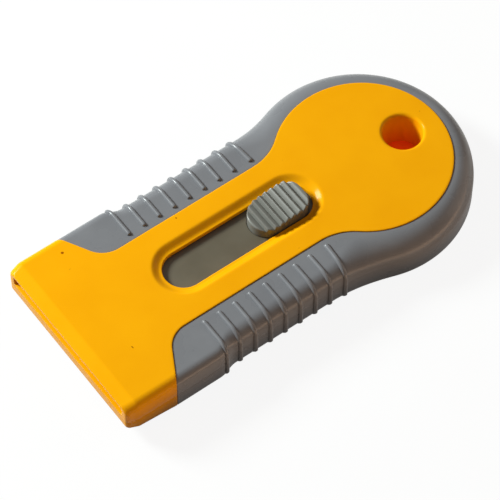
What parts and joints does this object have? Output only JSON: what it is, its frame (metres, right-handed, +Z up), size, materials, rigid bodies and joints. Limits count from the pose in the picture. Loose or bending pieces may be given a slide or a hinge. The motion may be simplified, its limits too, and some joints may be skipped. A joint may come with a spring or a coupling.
{
  "type": "razor blade scraper",
  "caption": "Pocket scraper with a retractable single-edge razor blade, a grooved thumb slide in a dished slot, soft ribbed side grips and a hang hole.",
  "frame": {"origin": "middle of the underside, on the surface that the scraper lies on", "axes": "+X towards the blade's mouth, +Z up through the thumb button, +Y to the button's left when looking towards the mouth"},
  "size_m": [0.101, 0.0496, 0.0121],
  "materials": {
    "yellow_shell": "satin",
    "grey_grip": "satin",
    "grey_slide": "satin",
    "blade_steel": "ground",
    "spring_steel": "satin"
  },
  "bodies": {
    "body": {"upper_shell": "yellow_shell", "lower_shell": "yellow_shell", "upper_grip": "grey_grip", "lower_grip": "grey_grip", "body_screws": "spring_steel"},
    "carrier": {"blade_carrier": "grey_slide", "razor_blade": "blade_steel", "blade_spine": "blade_steel", "lock_spring": "spring_steel"},
    "button": {"slide_button": "grey_slide"}
  },
  "joints": [
    {"name": "blade_slide", "type": "slide", "parent": "body", "child": "carrier", "axis": [1, 0, 0], "range_m": [0, 0.0205]},
    {"name": "button_press", "type": "slide", "parent": "carrier", "child": "button", "axis": [0, 0, -1], "range_m": [0, 0.0009], "stiffness_N_per_m": 4000, "deforming": ["lock_spring"]}
  ]
}
